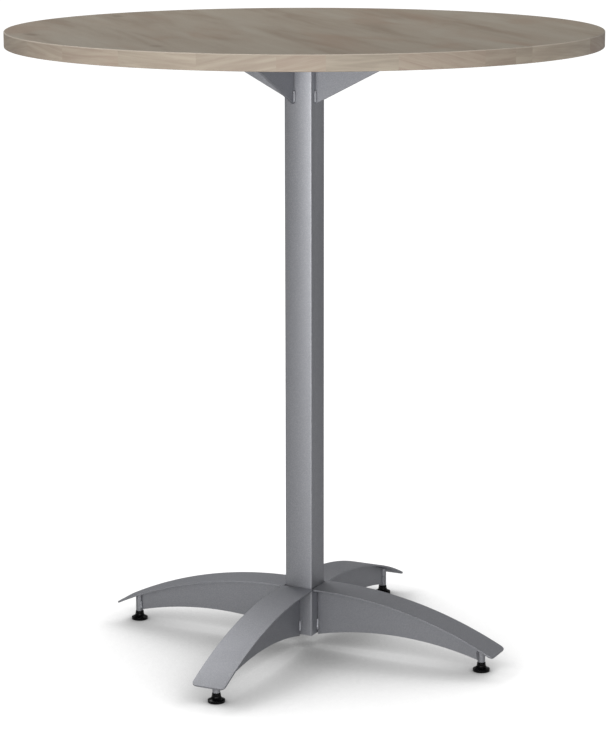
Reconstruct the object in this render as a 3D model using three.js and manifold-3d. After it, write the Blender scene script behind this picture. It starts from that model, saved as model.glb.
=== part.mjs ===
// Standing meeting table: a round laminate top on a square steel column, braced under the top by
// four gussets and standing on four arched T-section arms with levelling glides.
// Millimetres, +Z up. The origin is on the floor under the column's axis, and the arms lie along X and Y.
import * as THREE from 'three';
import { mergeVertices } from 'three/addons/utils/BufferGeometryUtils.js';
import Module from 'manifold-3d';

const wasm = await Module();
wasm.setup();

// Top: a laminated board with a band glued round its rim
const TABLE_HEIGHT = 1067;
const TOP_DIAMETER = 990;
const TOP_THICKNESS = 26;
const LAMINATE_THICKNESS = 1;
const BACKER_THICKNESS = 1;
const BAND_THICKNESS = 2;
const BAND_ARRIS = 1.5;
const GLUE_LINE = 0.2;

// Column: a square tube with rounded corners, closed below by a plastic plug
const COLUMN_WIDTH = 50.8;
const COLUMN_CORNER = 3.2;
const COLUMN_WALL = 2;
const COLUMN_BOTTOM = 25.1;
const PLUG_HEIGHT = 16;
const PLUG_FLOOR = 3;
const PLUG_WALL = 2;
const PLUG_CLEARANCE = 0.3;
const PLUG_DRAIN = 6;

// Mounting plate: a flat cross between the column and the top
const PLATE_THICKNESS = 6;
const PLATE_REACH = 205;
const PLATE_WIDTH = 60;
const PLATE_TIP_CORNER = 10;
const PLATE_INNER_CORNER = 14;

// Gussets: triangular braces that end a little short of the mounting plate's tips,
// each set off the middle of its column face, all turned the same way round
const GUSSET_THICKNESS = 5;
const GUSSET_OFFSET = 9;
const GUSSET_DROP = 91;
const GUSSET_SETBACK = 16.5;
const GUSSET_NOSE = 8;

// Arm flange: a bent plate, given by its height at the column, its height at the tip and its bend radius
const FLANGE_WIDTH = 60;
const FLANGE_THICKNESS = 3;
const FLANGE_BEND = 706;
const FLANGE_ROOT_HEIGHT = 110.2;
const FLANGE_TIP_HEIGHT = 34.8;
const ARM_REACH = 362;
const FLANGE_TIP_CORNER = 8;

// Arm web: an upright plate under the flange, arched along its lower edge from a little below the tube
const WEB_THICKNESS = 5;
const WEB_ARCH = 595;
const WEB_DROP = 3.2;

// Fillet welds, and the gap left between steel pieces that are welded together
const WELD_LEG = 3.6;
const WELD_LENGTH = 21;
const WEB_WELD_RISE = 5;
const SLEEVE_WELD_LENGTH = 17;
const WELD_GAP = 0.3;

// Levelling glides: a threaded sleeve set back from each arm's tip and reaching below the web,
// a stud in the sleeve and a foot on the stud
const GLIDE_SETBACK = 31.4;
const SLEEVE_WALL = 2.15;
const SLEEVE_DROP = 2.8;
const STUD_DIAMETER = 7.9;
const STUD_HEADROOM = 5;
const THREAD_CLEARANCE = 0.3;
const FOOT_DIAMETER = 28.8;
const FOOT_HEIGHT = 15.4;
const FOOT_RIM = 4.4;
const FOOT_EDGE = 0.5;
const FOOT_FLARE = 7;
const FOOT_NECK_LENGTH = 4.4;
const FOOT_NECK_WALL = 3.4;
const FOOT_FLOOR = 3.5;
const FOOT_CLEARANCE = 0.4;

// Wood screws: pan heads under the mounting plate, two on each of its arms
const SCREW_SETBACK = 37;
const SCREW_MARGIN = 12;
const SCREW_DIAMETER = 5;
const SCREW_LENGTH = 22;
const SCREW_POINT = 6;
const SCREW_HEAD_DIAMETER = 10;
const SCREW_HEAD_HEIGHT = 3.4;
const SCREW_CLEARANCE = 0.25;
const PILOT_EXTRA_DEPTH = 1;

// Facets round a circle, half the facets along an arc, and the distance at which corners are one
const TOP_SEGMENTS = 96;
const ROUND_SEGMENTS = 20;
const FOOT_SEGMENTS = 24;
const SCREW_SEGMENTS = 12;
const ARC_SEGMENTS = 12;
const CORNER_SEGMENTS = 3;
const MERGE_DISTANCE = 1e-4;

// Sizes that follow from the driving dimensions
const topUnderside = TABLE_HEIGHT - TOP_THICKNESS;
const plateUnderside = topUnderside - PLATE_THICKNESS;
const laminateBottom = TABLE_HEIGHT - LAMINATE_THICKNESS;
const backerTop = topUnderside + BACKER_THICKNESS;
const coreRadius = TOP_DIAMETER / 2 - BAND_THICKNESS - GLUE_LINE;
const columnFace = COLUMN_WIDTH / 2;
const weldFace = columnFace + WELD_GAP;
const gussetReach = PLATE_REACH - GUSSET_SETBACK;
const screwReach = PLATE_REACH - SCREW_SETBACK;
const screwSide = PLATE_WIDTH / 2 - SCREW_MARGIN;
const screwHoleRadius = SCREW_DIAMETER / 2 + SCREW_CLEARANCE;
const glideReach = ARM_REACH - GLIDE_SETBACK;
const studRadius = STUD_DIAMETER / 2;
const boreRadius = studRadius + THREAD_CLEARANCE;
const sleeveRadius = boreRadius + SLEEVE_WALL;
const sleeveBottom = FOOT_HEIGHT + FOOT_CLEARANCE;
const webEnd = glideReach - sleeveRadius - WELD_GAP;
const webEndHeight = sleeveBottom + SLEEVE_DROP;

// The flange's upper face and the web's lower edge are circular arcs in the arm's upright plane
const flangeArc = arcThrough(
  new THREE.Vector2(columnFace, FLANGE_ROOT_HEIGHT),
  new THREE.Vector2(ARM_REACH, FLANGE_TIP_HEIGHT),
  FLANGE_BEND,
);
const archArc = arcThrough(
  new THREE.Vector2(columnFace, COLUMN_BOTTOM - WEB_DROP),
  new THREE.Vector2(webEnd, webEndHeight),
  WEB_ARCH,
);
const flangeUnderRadius = flangeArc.radius - FLANGE_THICKNESS;
const weldUnderRadius = flangeUnderRadius - WELD_GAP;
const studTop = heightOn(flangeArc, flangeUnderRadius, glideReach + boreRadius) - STUD_HEADROOM;

// Finishes
const woodFace = new THREE.MeshStandardMaterial({ color: 0x8f8679, roughness: 0.5 });
const woodEdge = new THREE.MeshStandardMaterial({ color: 0xada092, roughness: 0.5 });
const board = new THREE.MeshStandardMaterial({ color: 0xa88f6b, roughness: 0.9 });
const backer = new THREE.MeshStandardMaterial({ color: 0xc6c2bc, roughness: 0.7 });
const silverPaint = new THREE.MeshStandardMaterial({ color: 0x9a9ca1, roughness: 0.42, metalness: 0.5 });
const zinc = new THREE.MeshStandardMaterial({ color: 0xb8bcc0, roughness: 0.32, metalness: 1 });
const blackPlastic = new THREE.MeshStandardMaterial({ color: 0x121212, roughness: 0.4 });

/** Upward-bulging circle of the given radius through two points of the arm's upright plane. */
function arcThrough(start, end, radius) {
  const chord = end.clone().sub(start);
  const toCentre = Math.sqrt(radius * radius - chord.lengthSq() / 4);
  const up = new THREE.Vector2(-chord.y, chord.x).normalize();
  const centre = start.clone().add(end).multiplyScalar(0.5).addScaledVector(up, -toCentre);
  return { centre, radius };
}

/** Angle, from the outward direction, of an arc's point at a distance from the column's axis. */
function angleOn(arc, radius, distance) {
  return Math.acos((distance - arc.centre.x) / radius);
}

/** Height of an arc at a distance from the column's axis. */
function heightOn(arc, radius, distance) {
  return arc.centre.y + radius * Math.sin(angleOn(arc, radius, distance));
}

/** Closed solid of a geometry: positions only, shared corners merged, collapsed triangles dropped. */
function solidOf(geometry) {
  const bare = geometry.clone();
  bare.deleteAttribute('normal');
  bare.deleteAttribute('uv');
  const merged = mergeVertices(bare, MERGE_DISTANCE);
  const corners = merged.index.array;
  const kept = [];
  for (let i = 0; i < corners.length; i += 3) {
    const [a, b, c] = corners.slice(i, i + 3);
    if (a !== b && b !== c && c !== a) kept.push(a, b, c);
  }
  return new wasm.Manifold(new wasm.Mesh({
    numProp: 3,
    vertProperties: new Float32Array(merged.attributes.position.array),
    triVerts: new Uint32Array(kept),
  }));
}

/** Geometry of a solid that has been joined or cut. */
function geometryOf(solid) {
  const { vertProperties, triVerts } = solid.getMesh();
  const geometry = new THREE.BufferGeometry();
  geometry.setAttribute('position', new THREE.BufferAttribute(vertProperties, 3));
  geometry.setIndex(new THREE.BufferAttribute(triVerts, 1));
  geometry.computeVertexNormals();
  return geometry;
}

/** Plan outline raised from one height to another. */
function raised(shape, bottom, top) {
  const settings = { depth: top - bottom, bevelEnabled: false, curveSegments: CORNER_SEGMENTS };
  return new THREE.ExtrudeGeometry(shape, settings).translate(0, 0, bottom);
}

/** Upright plate in the arm's plane: the shape's x runs outwards, its y runs up. */
function upright(shape, thickness) {
  const settings = { depth: thickness, bevelEnabled: false, curveSegments: ARC_SEGMENTS };
  const geometry = new THREE.ExtrudeGeometry(shape, settings);
  return geometry.translate(0, 0, -thickness / 2).rotateX(Math.PI / 2);
}

/** Profile of radius and height turned about the Z axis. */
function turned(points, segments) {
  return new THREE.LatheGeometry(points, segments).rotateX(Math.PI / 2);
}

/** Upright round bar, used as a tool for holes and clearances. */
function roundBar(radius, bottom, top, segments = ROUND_SEGMENTS) {
  const geometry = new THREE.CylinderGeometry(radius, radius, top - bottom, segments);
  return geometry.rotateX(Math.PI / 2).translate(0, 0, (bottom + top) / 2);
}

/** Square outline with rounded corners, centred on the axis. */
function roundedSquare(width, corner) {
  const half = width / 2;
  const straight = half - corner;
  const shape = new THREE.Shape();
  shape.moveTo(half, -straight);
  shape.absarc(straight, straight, corner, 0, Math.PI / 2);
  shape.absarc(-straight, straight, corner, Math.PI / 2, Math.PI);
  shape.absarc(-straight, -straight, corner, Math.PI, 1.5 * Math.PI);
  shape.absarc(straight, -straight, corner, 1.5 * Math.PI, 2 * Math.PI);
  return shape;
}

/** Plan positions of the screws, two on each arm of the mounting plate. */
function screwPlaces() {
  const pair = [-screwSide, screwSide].map((side) => new THREE.Vector2(screwReach, side));
  const axis = new THREE.Vector2();
  const turns = [0, 1, 2, 3].map((arm) => arm * Math.PI / 2);
  return turns.flatMap((turn) => pair.map((place) => place.clone().rotateAround(axis, turn)));
}

/** Piece with the screw holes, which start under the mounting plate and end blind in the core. */
function drilled(geometry) {
  const bottom = plateUnderside - PILOT_EXTRA_DEPTH;
  const top = plateUnderside + SCREW_LENGTH + PILOT_EXTRA_DEPTH;
  const drill = roundBar(screwHoleRadius, bottom, top, SCREW_SEGMENTS);
  const holes = screwPlaces().map((place) => solidOf(drill.clone().translate(place.x, place.y, 0)));
  return geometryOf(holes.reduce((rest, hole) => rest.subtract(hole), solidOf(geometry)));
}

/** Plain round sheet of the top. */
function sheet(bottom, top) {
  return roundBar(coreRadius, bottom, top, TOP_SEGMENTS);
}

function edgeBand() {
  const outer = TOP_DIAMETER / 2;
  const inner = outer - BAND_THICKNESS;
  const profile = new THREE.Path();
  profile.moveTo(inner, topUnderside);
  profile.lineTo(outer - BAND_ARRIS, topUnderside);
  profile.absarc(outer - BAND_ARRIS, topUnderside + BAND_ARRIS, BAND_ARRIS, -Math.PI / 2, 0);
  profile.absarc(outer - BAND_ARRIS, TABLE_HEIGHT - BAND_ARRIS, BAND_ARRIS, 0, Math.PI / 2);
  profile.lineTo(inner, TABLE_HEIGHT);
  profile.lineTo(inner, topUnderside);
  return turned(profile.getPoints(1), TOP_SEGMENTS);
}

function columnTube() {
  const shape = roundedSquare(COLUMN_WIDTH, COLUMN_CORNER);
  shape.holes.push(roundedSquare(COLUMN_WIDTH - 2 * COLUMN_WALL, COLUMN_CORNER - COLUMN_WALL));
  return raised(shape, COLUMN_BOTTOM, plateUnderside);
}

function columnPlug() {
  const width = COLUMN_WIDTH - 2 * (COLUMN_WALL + PLUG_CLEARANCE);
  const corner = COLUMN_CORNER - COLUMN_WALL;
  const top = COLUMN_BOTTOM + PLUG_HEIGHT;
  const hollow = roundedSquare(width - 2 * PLUG_WALL, corner);
  const drain = roundBar(PLUG_DRAIN / 2, COLUMN_BOTTOM - PLUG_FLOOR, top);
  const plug = solidOf(raised(roundedSquare(width, corner), COLUMN_BOTTOM, top))
    .subtract(solidOf(raised(hollow, COLUMN_BOTTOM + PLUG_FLOOR, top + PLUG_FLOOR)))
    .subtract(solidOf(drain));
  return geometryOf(plug);
}

/** Cross with rounded tips and filleted inner corners, drilled for the screws. */
function mountingPlate() {
  const half = PLATE_WIDTH / 2;
  const inner = half + PLATE_INNER_CORNER;
  const tip = PLATE_REACH - PLATE_TIP_CORNER;
  const shape = new THREE.Shape();
  const centre = new THREE.Vector2();
  for (let arm = 0; arm < 4; arm += 1) {
    const turn = arm * Math.PI / 2;
    const at = (x, y) => new THREE.Vector2(x, y).rotateAround(centre, turn);
    const round = (x, y, radius, start, end, clockwise) => {
      const middle = at(x, y);
      shape.absarc(middle.x, middle.y, radius, start + turn, end + turn, clockwise);
    };
    if (arm === 0) shape.moveTo(inner, -half);
    round(tip, PLATE_TIP_CORNER - half, PLATE_TIP_CORNER, -Math.PI / 2, 0, false);
    round(tip, half - PLATE_TIP_CORNER, PLATE_TIP_CORNER, 0, Math.PI / 2, false);
    round(inner, inner, PLATE_INNER_CORNER, -Math.PI / 2, -Math.PI, true);
  }
  return drilled(raised(shape, plateUnderside, topUnderside));
}

function woodScrew() {
  const radius = SCREW_DIAMETER / 2;
  const head = SCREW_HEAD_DIAMETER / 2;
  const profile = new THREE.Path();
  profile.moveTo(0, plateUnderside - SCREW_HEAD_HEIGHT);
  profile.lineTo(head / 2, plateUnderside - SCREW_HEAD_HEIGHT);
  profile.quadraticCurveTo(head, plateUnderside - SCREW_HEAD_HEIGHT, head, plateUnderside);
  profile.lineTo(radius, plateUnderside);
  profile.lineTo(radius, plateUnderside + SCREW_LENGTH - SCREW_POINT);
  profile.lineTo(0, plateUnderside + SCREW_LENGTH);
  return turned(profile.getPoints(3), SCREW_SEGMENTS);
}

/** Pair of fillet welds either side of a plate, in plan: quarter rounds that spread from the welded face. */
function weldPair(thickness, length) {
  const half = thickness / 2;
  const shape = new THREE.Shape();
  shape.moveTo(0, -half - WELD_LEG);
  shape.absarc(0, -half, WELD_LEG, -Math.PI / 2, 0);
  shape.absarc(0, half, WELD_LEG, 0, Math.PI / 2);
  return raised(shape, 0, length);
}

/** Triangular brace with a blunt nose, beside the middle of a column face and welded at its lower end. */
function gusset() {
  const lowest = plateUnderside - GUSSET_DROP;
  const shape = new THREE.Shape();
  shape.moveTo(weldFace, lowest);
  shape.lineTo(gussetReach, plateUnderside - GUSSET_NOSE);
  shape.lineTo(gussetReach, plateUnderside);
  shape.lineTo(weldFace, plateUnderside);
  const weld = weldPair(GUSSET_THICKNESS, WELD_LENGTH).translate(weldFace, 0, lowest + WELD_LEG / 2);
  const brace = geometryOf(solidOf(upright(shape, GUSSET_THICKNESS)).add(solidOf(weld)));
  return brace.translate(0, -GUSSET_OFFSET, 0);
}

/** Continues an outline along an arc, from one distance to another from the column's axis. */
function followArc(shape, arc, radius, from, to) {
  const start = angleOn(arc, radius, from);
  const end = angleOn(arc, radius, to);
  shape.absarc(arc.centre.x, arc.centre.y, radius, start, end, to > from);
}

/** Region of the arm's plane under an arc, from the floor up, between two distances from the axis. */
function underArc(arc, radius, from, to) {
  const shape = new THREE.Shape();
  shape.moveTo(from, 0);
  shape.lineTo(to, 0);
  followArc(shape, arc, radius, to, from);
  return shape;
}

/** Bent plate: a strip with rounded tip corners, mitred against its neighbours and cut to fit the tube. */
function armFlange() {
  const half = FLANGE_WIDTH / 2;
  const past = ARM_REACH + FLANGE_THICKNESS;
  const strip = new THREE.Shape();
  followArc(strip, flangeArc, flangeArc.radius, 0, past);
  followArc(strip, flangeArc, flangeUnderRadius, past, 0);
  const tip = ARM_REACH - FLANGE_TIP_CORNER;
  const round = half - FLANGE_TIP_CORNER;
  const plan = new THREE.Shape();
  plan.moveTo(columnFace - COLUMN_CORNER, -half);
  plan.absarc(tip, -round, FLANGE_TIP_CORNER, -Math.PI / 2, 0);
  plan.absarc(tip, round, FLANGE_TIP_CORNER, 0, Math.PI / 2);
  plan.lineTo(columnFace - COLUMN_CORNER, half);
  const mitre = new THREE.Shape();
  mitre.moveTo(WELD_GAP, 0);
  mitre.lineTo(past, WELD_GAP - past);
  mitre.lineTo(past, past - WELD_GAP);
  const tube = roundedSquare(COLUMN_WIDTH + 2 * WELD_GAP, COLUMN_CORNER + WELD_GAP);
  const flange = solidOf(upright(strip, FLANGE_WIDTH))
    .intersect(solidOf(raised(plan, 0, TABLE_HEIGHT)))
    .intersect(solidOf(raised(mitre, 0, TABLE_HEIGHT)))
    .subtract(solidOf(raised(tube, 0, TABLE_HEIGHT)));
  return geometryOf(flange);
}

/** Upright plate between the flange and the arch, with welds at the column and round the sleeve. */
function armWeb() {
  const plate = solidOf(upright(underArc(flangeArc, weldUnderRadius, weldFace, webEnd), WEB_THICKNESS));
  const arch = solidOf(upright(underArc(archArc, archArc.radius, 0, glideReach), FLANGE_WIDTH));
  const columnWeld = weldPair(WEB_THICKNESS, WELD_LENGTH)
    .translate(weldFace, 0, COLUMN_BOTTOM + WEB_WELD_RISE);
  const sleeveWeld = weldPair(WEB_THICKNESS, SLEEVE_WELD_LENGTH).rotateZ(Math.PI)
    .translate(glideReach - sleeveRadius / 2, 0, webEndHeight);
  const sleeveRoom = roundBar(sleeveRadius + WELD_GAP, 0, FLANGE_ROOT_HEIGHT);
  const web = plate.subtract(arch)
    .add(solidOf(columnWeld))
    .add(solidOf(sleeveWeld))
    .subtract(solidOf(sleeveRoom.translate(glideReach, 0, 0)));
  return geometryOf(web);
}

/** Tapped tube under the arm's tip, its upper end coped to the bent flange. */
function glideSleeve() {
  const tube = solidOf(roundBar(sleeveRadius, sleeveBottom, FLANGE_ROOT_HEIGHT))
    .subtract(solidOf(roundBar(boreRadius, 0, TABLE_HEIGHT)))
    .translate([glideReach, 0, 0]);
  const room = upright(underArc(flangeArc, weldUnderRadius, webEnd, ARM_REACH), FLANGE_WIDTH);
  return geometryOf(tube.intersect(solidOf(room)));
}

/** Threaded stud from the foot's socket to a little under the flange. */
function glideStud() {
  return roundBar(studRadius, FOOT_FLOOR + THREAD_CLEARANCE, studTop);
}

/** Bell-shaped foot: a disc with broken edges, a hollow flare up to the neck and a socket for the stud. */
function glideFoot() {
  const rim = FOOT_DIAMETER / 2;
  const neck = boreRadius + FOOT_NECK_WALL;
  const profile = new THREE.Path();
  profile.moveTo(0, 0);
  profile.lineTo(rim - FOOT_EDGE, 0);
  profile.absarc(rim - FOOT_EDGE, FOOT_EDGE, FOOT_EDGE, -Math.PI / 2, 0);
  profile.absarc(rim - FOOT_EDGE, FOOT_RIM - FOOT_EDGE, FOOT_EDGE, 0, Math.PI / 2);
  profile.quadraticCurveTo(neck, FOOT_FLARE, neck, FOOT_HEIGHT - FOOT_NECK_LENGTH);
  profile.lineTo(neck, FOOT_HEIGHT);
  profile.lineTo(boreRadius, FOOT_HEIGHT);
  profile.lineTo(boreRadius, FOOT_FLOOR);
  profile.lineTo(0, FOOT_FLOOR);
  return turned(profile.getPoints(3), FOOT_SEGMENTS);
}

/** Named piece of the table. */
function piece(name, geometry, material) {
  const mesh = new THREE.Mesh(geometry, material);
  mesh.name = name;
  return mesh;
}

const table = new THREE.Group();
table.add(
  piece('top_core', drilled(sheet(backerTop, laminateBottom)), board),
  piece('top_laminate', sheet(laminateBottom, TABLE_HEIGHT), woodFace),
  piece('backer_sheet', drilled(sheet(topUnderside, backerTop)), backer),
  piece('edge_band', edgeBand(), woodEdge),
  piece('mounting_plate', mountingPlate(), silverPaint),
  piece('column_tube', columnTube(), silverPaint),
  piece('column_plug', columnPlug(), blackPlastic),
);

screwPlaces().forEach((place, index) => {
  const screw = piece(`wood_screw_${index + 1}`, woodScrew(), zinc);
  screw.position.set(place.x, place.y, 0);
  table.add(screw);
});

// The four sides share one set of pieces, made along +X and turned about the column
['right', 'back', 'left', 'front'].forEach((side, index) => {
  const arm = new THREE.Group();
  arm.rotation.z = index * Math.PI / 2;
  arm.add(
    piece(`gusset_${side}`, gusset(), silverPaint),
    piece(`arm_flange_${side}`, armFlange(), silverPaint),
    piece(`arm_web_${side}`, armWeb(), silverPaint),
    piece(`glide_sleeve_${side}`, glideSleeve(), silverPaint),
  );
  const glide = new THREE.Group();
  glide.position.x = glideReach;
  glide.add(
    piece(`glide_stud_${side}`, glideStud(), zinc),
    piece(`glide_foot_${side}`, glideFoot(), blackPlastic),
  );
  arm.add(glide);
  table.add(arm);
});

export default table;
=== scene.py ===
# %% [markdown]
# # A standing meeting table
#
# A round wood-grain top stands on one square steel column. Four triangular gussets brace it under the
# top, and four arched arms with levelling glides carry it on the floor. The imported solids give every
# place and size, so they are loaded first, and each cell then swaps a plain solid for a smoother and
# finer surface. Everything is in metres: X and Y lie along the arms, and Z runs up from the floor.

# %% Load the solids
import math

import bpy
import numpy as np
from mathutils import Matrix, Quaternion, Vector


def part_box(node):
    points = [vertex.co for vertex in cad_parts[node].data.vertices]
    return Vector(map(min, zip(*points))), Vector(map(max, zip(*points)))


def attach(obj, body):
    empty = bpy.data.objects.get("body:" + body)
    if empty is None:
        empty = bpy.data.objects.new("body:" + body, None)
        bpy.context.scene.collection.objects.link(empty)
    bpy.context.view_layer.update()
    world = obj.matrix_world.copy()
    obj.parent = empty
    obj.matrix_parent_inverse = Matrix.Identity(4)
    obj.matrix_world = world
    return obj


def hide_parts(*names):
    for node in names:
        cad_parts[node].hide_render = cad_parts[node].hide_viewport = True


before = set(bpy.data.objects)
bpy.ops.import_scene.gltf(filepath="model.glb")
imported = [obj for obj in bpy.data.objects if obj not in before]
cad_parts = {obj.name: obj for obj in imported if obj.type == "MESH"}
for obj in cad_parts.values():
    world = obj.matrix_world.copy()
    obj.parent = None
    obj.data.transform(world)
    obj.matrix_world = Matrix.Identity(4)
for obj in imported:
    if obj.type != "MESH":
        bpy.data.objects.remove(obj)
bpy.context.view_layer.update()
SIDES = ("right", "back", "left", "front")

# %% [markdown]
# ## The camera
#
# The picture was taken from the front right, a little above the top, with a long lens. A camera is
# placed by three things: where it stands, where it looks and how long its lens is. These three come
# first, because they decide what is worth modelling finely.

# %% Camera
CAMERA_PLACE = Vector((1.8229, -3.7550, 1.3865))
CAMERA_AIM = Vector((-0.42675, 0.87978, -0.20958))
CAMERA_LENS = 122.57
CAMERA_SENSOR = 36
CAMERA_ROLL = math.radians(-0.06)

camera = bpy.data.objects.new("camera", bpy.data.cameras.new("camera"))
camera.data.lens = CAMERA_LENS
camera.data.sensor_width = CAMERA_SENSOR
camera.location = CAMERA_PLACE
roll = Quaternion((0, 0, 1), CAMERA_ROLL)
camera.rotation_euler = (CAMERA_AIM.to_track_quat("-Z", "Y") @ roll).to_euler()
bpy.context.scene.collection.objects.link(camera)
bpy.context.scene.camera = camera
print("camera:", [round(value, 3) for value in camera.location], "lens", CAMERA_LENS)

# %% [markdown]
# ## Grids become meshes
#
# Nearly every piece of this table is a profile carried along a path: a round thing is a profile carried
# round an axis, and a bent plate is a section carried along an arc. Such a surface is a grid of points,
# with rows along the path and columns round the section. The columns close on themselves. The rows
# either close too, as in a tube with a wall, or end in a flat face. Columns run counterclockwise as seen
# from the end of the path, and then every face points outwards.

# %% Grid helpers
MM = 0.001
CREASE_ANGLE = math.radians(40)


def grid_faces(rows, columns, looped, first):
    """Quads of a grid: point (i, j) joins (i, j + 1), (i + 1, j + 1) and (i + 1, j), and columns wrap
    round. Rows that aren't looped end in a flat face each. The points are counted on from the first one
    given."""
    i = np.arange(rows if looped else rows - 1)[:, None]
    j = np.arange(columns)[None, :]
    i_next, j_next = (i + 1) % rows, (j + 1) % columns
    corners = (i * columns + j, i * columns + j_next, i_next * columns + j_next, i_next * columns + j)
    quads = (first + np.stack(np.broadcast_arrays(*corners), -1).reshape(-1, 4)).tolist()
    if looped:
        return quads
    start = first + np.arange(columns)
    return quads + [start[::-1].tolist(), (start + (rows - 1) * columns).tolist()]


def make_piece(name, grids, finish, looped=False):
    """One mesh of closed shells, one from each grid of (rows, columns, 3). Edges sharper than the crease
    angle stay sharp, and the rest is shaded smooth."""
    points, faces, first = [], [], 0
    for grid in grids:
        rows, columns = grid.shape[:2]
        faces += grid_faces(rows, columns, looped, first)
        points.append(grid.reshape(-1, 3))
        first += rows * columns
    mesh = bpy.data.meshes.new(name)
    mesh.from_pydata(np.concatenate(points).tolist(), [], faces)
    mesh.shade_smooth()
    mesh.set_sharp_from_angle(angle=CREASE_ANGLE)
    mesh.materials.append(finish)
    piece = bpy.data.objects.new(name, mesh)
    bpy.context.scene.collection.objects.link(piece)
    return piece


def fit(piece, body, slot, *nodes):
    """The piece moves with a body and stands for the given solids. The slot is not used."""
    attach(piece, body)
    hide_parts(*nodes)
    print(piece.name, "faces:", len(piece.data.polygons))


def lathe(profile, segments, centre=(0, 0)):
    """Profile of (radius, height) turned about an upright axis: x = centre + radius cos(angle), y =
    centre + radius sin(angle), z = height. The profile runs counterclockwise, up its outer side."""
    angle = np.linspace(0, 2 * np.pi, segments, endpoint=False)
    radius, height = np.array(profile)[:, :1], np.array(profile)[:, 1:]
    return np.stack([centre[0] + radius * np.cos(angle), centre[1] + radius * np.sin(angle),
                     height + 0 * angle], -1)


def turn_to(side, grid):
    """Grid made along +X, turned about the column by a quarter turn for each side after the right
    one."""
    turn = SIDES.index(side) * math.pi / 2
    cos, sin = round(math.cos(turn)), round(math.sin(turn))
    return grid @ np.array([[cos, sin, 0], [-sin, cos, 0], [0, 0, 1]])


def rounded(centre, radius, start, end, points=5):
    """Points of a circular corner of a profile, from one angle to another, in degrees."""
    angle = np.radians(np.linspace(start, end, points))
    return np.stack([centre[0] + radius * np.cos(angle), centre[1] + radius * np.sin(angle)], -1).tolist()


# %% [markdown]
# ## Node helpers
#
# Finishes are node trees, and small helpers keep them readable. Some add a node and fill its inputs,
# others make a node group with named sockets or place one. A group is built once, and each finish then
# gives it values of its own.

# %% Node helpers


def fill_inputs(tree, node, inputs):
    """Links the inputs that are sockets of earlier nodes and sets the rest. A name such as _1 counts
    inputs."""
    for name, value in inputs.items():
        socket = node.inputs[int(name[1:])] if name[1:].isdigit() else node.inputs[name.replace("_", " ")]
        if isinstance(value, bpy.types.NodeSocket):
            tree.links.new(value, socket)
        else:
            socket.default_value = value


def add_node(tree, kind, settings=None, **inputs):
    """Adds a shader node. Settings are its properties. Inputs are values or the sockets of earlier
    nodes."""
    node = tree.nodes.new("ShaderNode" + kind)
    for name, value in (settings or {}).items():
        setattr(node, name, value)
    fill_inputs(tree, node, inputs)
    return node


def math_node(tree, operation, first, second=0.0, third=0.0):
    """One sum of a Math node, as its output socket."""
    return add_node(tree, "Math", {"operation": operation}, _0=first, _1=second, _2=third).outputs[0]


def mix_colours(tree, share, first, second):
    """Mixes two colours by a share between 0 and 1."""
    return add_node(tree, "Mix", {"data_type": "RGBA"}, _0=share, _6=first, _7=second).outputs[2]


def blend_in(tree, tone, other, share, most):
    """Mixes another colour into a tone by a share times the most that it may reach."""
    return mix_colours(tree, math_node(tree, "MULTIPLY", share, most), tone, other)


def spread(tree, value, low, high, to_low=0.0, to_high=1.0):
    """Stretches a band of a value, from low to high, smoothly over another band."""
    node = add_node(tree, "MapRange", {"interpolation_type": "SMOOTHSTEP"}, Value=value, From_Min=low,
                    From_Max=high, To_Min=to_low, To_Max=to_high)
    return node.outputs[0]


def noise(tree, vector, scale=1.0, detail=2.0, roughness=0.5, distortion=0.0):
    """Noise texture's value on a vector."""
    node = add_node(tree, "TexNoise", None, Vector=vector, Scale=scale, Detail=detail, Roughness=roughness,
                    Distortion=distortion)
    return node.outputs[0]


def stretch(tree, vector, factors):
    """Vector multiplied by a factor for each axis."""
    return add_node(tree, "VectorMath", {"operation": "MULTIPLY"}, _0=vector, _1=factors).outputs[0]


def new_group(name, inputs, outputs):
    """Node group with sockets of (name, type). Returns its tree, its inputs by name and its output
    node."""
    tree = bpy.data.node_groups.new(name, "ShaderNodeTree")
    for socket, kind in inputs:
        tree.interface.new_socket(socket, in_out="INPUT", socket_type="NodeSocket" + kind)
    for socket, kind in outputs:
        tree.interface.new_socket(socket, in_out="OUTPUT", socket_type="NodeSocket" + kind)
    return tree, tree.nodes.new("NodeGroupInput").outputs, tree.nodes.new("NodeGroupOutput").inputs


def place_group(tree, group, **inputs):
    """A placed node group, as its outputs by name."""
    node = tree.nodes.new("ShaderNodeGroup")
    node.node_tree = group
    fill_inputs(tree, node, inputs)
    return node.outputs


def colour(red, green, blue):
    """Linear colour of a screen colour from 0 to 255: dark parts are divided by 12.92, the rest is a
    power."""
    share = np.array([red, green, blue]) / 255
    linear = np.where(share <= 0.04045, share / 12.92, ((share + 0.055) / 1.055) ** 2.4)
    return (*linear.tolist(), 1.0)


def new_finish(name, **inputs):
    """Material with constant values on its Principled BSDF. Returns the material, its tree, the shader
    and the object's own coordinates, which stay with the piece when it moves."""
    finish = bpy.data.materials.new(name)
    finish.use_nodes = True
    tree = finish.node_tree
    shader = tree.nodes["Principled BSDF"]
    fill_inputs(tree, shader, inputs)
    return finish, tree, shader, add_node(tree, "TexCoord").outputs["Object"]


def lay_bump(tree, shader, height, strength, distance):
    """Presses a height into the surface, by a Bump node on the shader's normal."""
    bump = add_node(tree, "Bump", None, Strength=strength, Distance=distance, Height=height)
    tree.links.new(bump.outputs[0], shader.inputs["Normal"])


# %% [markdown]
# ## Wood grain
#
# The face and the band are printed with a pale grey-brown wood. Its grain is long and low in contrast:
# broad soft streaks some centimetres wide, fine fibres inside them, and short dark pores. All three are
# noise that is stretched along one direction. The group takes coordinates whose X already runs along the
# grain, so that the face and the band can lay the same wood in their own directions.

# %% Wood grain group
FIBRES_PER_STREAK = (2.0, 9.0, 9.0)
PORES_PER_STREAK = (14.0, 46.0, 46.0)

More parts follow.
